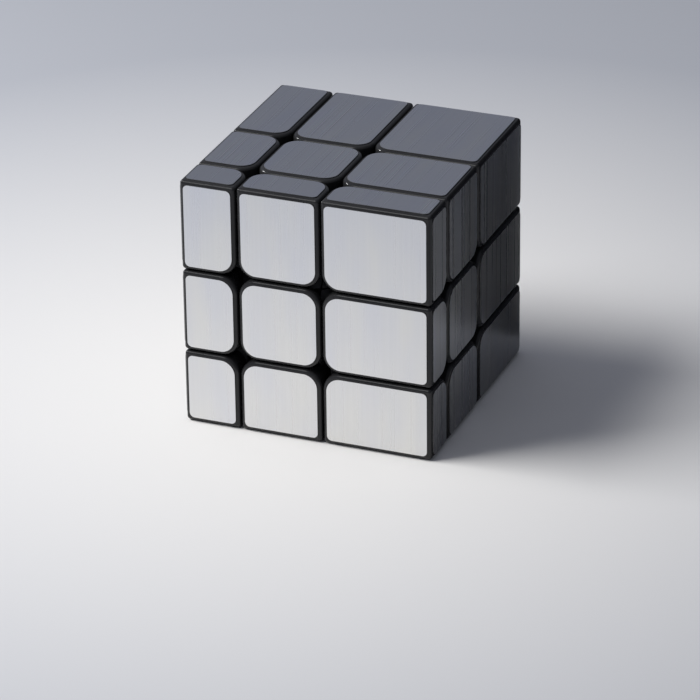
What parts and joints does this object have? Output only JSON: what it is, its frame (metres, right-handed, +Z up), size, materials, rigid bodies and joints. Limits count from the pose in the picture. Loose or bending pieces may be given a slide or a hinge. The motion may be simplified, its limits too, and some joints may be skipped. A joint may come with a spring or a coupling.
{
  "type": "mirror block cube",
  "caption": "Twisty cube puzzle in one silver colour whose blocks differ in size, with turning layers, glossy black blocks and brushed silver foil on every face.",
  "frame": {"origin": "middle of the square that the cube rests on", "axes": "+Z up; -Y out of the front, where the thinnest layer is; +X to the right as seen from the front, towards the wide column"},
  "size_m": [0.057, 0.057, 0.057],
  "materials": {
    "black_plastic": "moulded, high gloss",
    "silver_foil": "brushed mirror foil",
    "mechanism_plastic": "moulded, satin",
    "core_nylon": "moulded, satin",
    "screw_steel": "zinc plated",
    "spring_steel": "drawn wire"
  },
  "bodies": {
    "core_and_middle_layer": {"core": "core_nylon", "springs": "spring_steel", "washers": "screw_steel", "front_centre_base": "mechanism_plastic", "back_centre_base": "mechanism_plastic", "left_centre_base": "mechanism_plastic", "right_centre_base": "mechanism_plastic", "edge_shell_front_left": "black_plastic", "edge_shell_front_right": "black_plastic", "edge_shell_back_left": "black_plastic", "edge_shell_back_right": "black_plastic", "middle_edge_feet": "mechanism_plastic", "middle_side_stickers": "silver_foil"},
    "top_layer": {"top_centre_base": "mechanism_plastic", "edge_shell_top_front": "black_plastic", "edge_shell_top_left": "black_plastic", "edge_shell_top_right": "black_plastic", "edge_shell_top_back": "black_plastic", "corner_shell_top_front_left": "black_plastic", "corner_shell_top_front_right": "black_plastic", "corner_shell_top_back_left": "black_plastic", "corner_shell_top_back_right": "black_plastic", "top_edge_feet": "mechanism_plastic", "top_corner_feet": "mechanism_plastic", "top_side_stickers": "silver_foil", "top_face_stickers": "silver_foil"},
    "bottom_layer": {"bottom_centre_base": "mechanism_plastic", "edge_shell_bottom_front": "black_plastic", "edge_shell_bottom_left": "black_plastic", "edge_shell_bottom_right": "black_plastic", "edge_shell_bottom_back": "black_plastic", "corner_shell_bottom_front_left": "black_plastic", "corner_shell_bottom_front_right": "black_plastic", "corner_shell_bottom_back_left": "black_plastic", "corner_shell_bottom_back_right": "black_plastic", "bottom_edge_feet": "mechanism_plastic", "bottom_corner_feet": "mechanism_plastic", "bottom_side_stickers": "silver_foil", "bottom_face_stickers": "silver_foil"},
    "front_cap": {"front_centre_cap": "black_plastic", "front_cap_sticker": "silver_foil"},
    "back_cap": {"back_centre_cap": "black_plastic", "back_cap_sticker": "silver_foil"},
    "left_cap": {"left_centre_cap": "black_plastic", "left_cap_sticker": "silver_foil"},
    "right_cap": {"right_centre_cap": "black_plastic", "right_cap_sticker": "silver_foil"},
    "top_cap": {"top_centre_cap": "black_plastic", "top_cap_sticker": "silver_foil"},
    "bottom_cap": {"bottom_centre_cap": "black_plastic", "bottom_cap_sticker": "silver_foil"},
    "front_screw": {"front_screw": "screw_steel"},
    "back_screw": {"back_screw": "screw_steel"},
    "left_screw": {"left_screw": "screw_steel"},
    "right_screw": {"right_screw": "screw_steel"},
    "top_screw": {"top_screw": "screw_steel"},
    "bottom_screw": {"bottom_screw": "screw_steel"}
  },
  "joints": [
    {"name": "top_layer_turn", "type": "hinge", "parent": "core_and_middle_layer", "child": "top_layer", "pos_m": [-0.006, -0.009, 0.0265], "axis": [0, 0, 1], "continuous": true},
    {"name": "bottom_layer_turn", "type": "hinge", "parent": "core_and_middle_layer", "child": "bottom_layer", "pos_m": [-0.006, -0.009, 0.0265], "axis": [0, 0, -1], "continuous": true},
    {"name": "front_cap_pull", "type": "slide", "parent": "core_and_middle_layer", "child": "front_cap", "axis": [0, -1, 0], "range_m": [0, 0.012]},
    {"name": "back_cap_pull", "type": "slide", "parent": "core_and_middle_layer", "child": "back_cap", "axis": [0, 1, 0], "range_m": [0, 0.012]},
    {"name": "left_cap_pull", "type": "slide", "parent": "core_and_middle_layer", "child": "left_cap", "axis": [-1, 0, 0], "range_m": [0, 0.012]},
    {"name": "right_cap_pull", "type": "slide", "parent": "core_and_middle_layer", "child": "right_cap", "axis": [1, 0, 0], "range_m": [0, 0.012]},
    {"name": "top_cap_pull", "type": "slide", "parent": "top_layer", "child": "top_cap", "axis": [0, 0, 1], "range_m": [0, 0.012]},
    {"name": "bottom_cap_pull", "type": "slide", "parent": "bottom_layer", "child": "bottom_cap", "axis": [0, 0, -1], "range_m": [0, 0.012]},
    {"name": "front_screw_turn", "type": "hinge", "parent": "core_and_middle_layer", "child": "front_screw", "pos_m": [-0.006, -0.009, 0.0265], "axis": [0, -1, 0], "range_deg": [-180, 180]},
    {"name": "back_screw_turn", "type": "hinge", "parent": "core_and_middle_layer", "child": "back_screw", "pos_m": [-0.006, -0.009, 0.0265], "axis": [0, 1, 0], "range_deg": [-180, 180]},
    {"name": "left_screw_turn", "type": "hinge", "parent": "core_and_middle_layer", "child": "left_screw", "pos_m": [-0.006, -0.009, 0.0265], "axis": [-1, 0, 0], "range_deg": [-180, 180]},
    {"name": "right_screw_turn", "type": "hinge", "parent": "core_and_middle_layer", "child": "right_screw", "pos_m": [-0.006, -0.009, 0.0265], "axis": [1, 0, 0], "range_deg": [-180, 180]},
    {"name": "top_screw_turn", "type": "hinge", "parent": "core_and_middle_layer", "child": "top_screw", "pos_m": [-0.006, -0.009, 0.0265], "axis": [0, 0, 1], "range_deg": [-180, 180]},
    {"name": "bottom_screw_turn", "type": "hinge", "parent": "core_and_middle_layer", "child": "bottom_screw", "pos_m": [-0.006, -0.009, 0.0265], "axis": [0, 0, -1], "range_deg": [-180, 180]}
  ]
}
